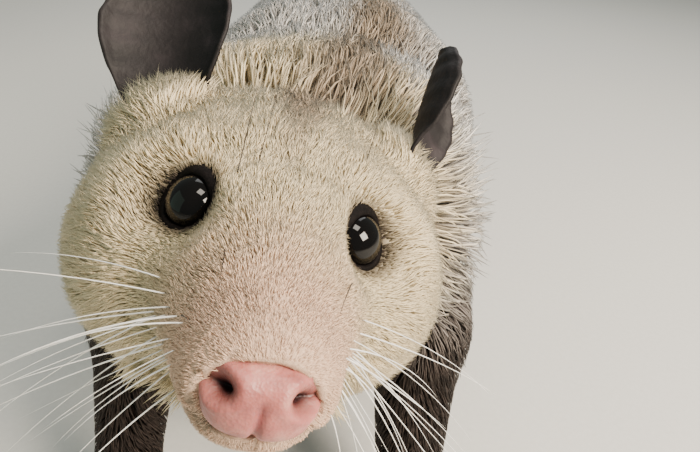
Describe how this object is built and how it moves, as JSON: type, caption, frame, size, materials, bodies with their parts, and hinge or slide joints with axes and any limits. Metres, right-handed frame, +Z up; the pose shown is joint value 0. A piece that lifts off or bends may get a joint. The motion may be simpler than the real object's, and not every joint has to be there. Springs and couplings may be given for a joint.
{
  "type": "opossum model",
  "caption": "Life-size museum-type model of an adult Virginia opossum, standing on all fours with its pointed face raised and its bare tail laid on the floor.",
  "frame": {"origin": "on the floor, under the middle of the whole animal's bounding box", "axes": "+Z up; the animal faces -Y, its left side is +X and its tail leaves towards +Y"},
  "size_m": [0.2346, 0.6388, 0.2266],
  "materials": {
    "face_coat": "short cream fur",
    "body_coat": "long grey fur over pale underfur",
    "leg_coat": "short blackish fur",
    "pink_skin": "bare pink skin",
    "ear_skin": "bare dark skin",
    "tail_skin": "scaly bare skin",
    "eye": "wet black"
  },
  "bodies": {
    "root": {"torso": "body_coat", "neck": "body_coat", "foreleg_left": "leg_coat", "hindleg_left": "leg_coat", "foreleg_right": "leg_coat", "hindleg_right": "leg_coat", "forepaw_left": "pink_skin", "hindfoot_left": "pink_skin", "forepaw_right": "pink_skin", "hindfoot_right": "pink_skin", "tail_base": "tail_skin", "tail_middle": "tail_skin", "tail_tip": "tail_skin", "eye_left": "eye", "eye_right": "eye", "nose": "pink_skin", "jaw": "face_coat", "head": "face_coat", "ear_left": "ear_skin", "ear_right": "ear_skin"}
  },
  "joints": []
}
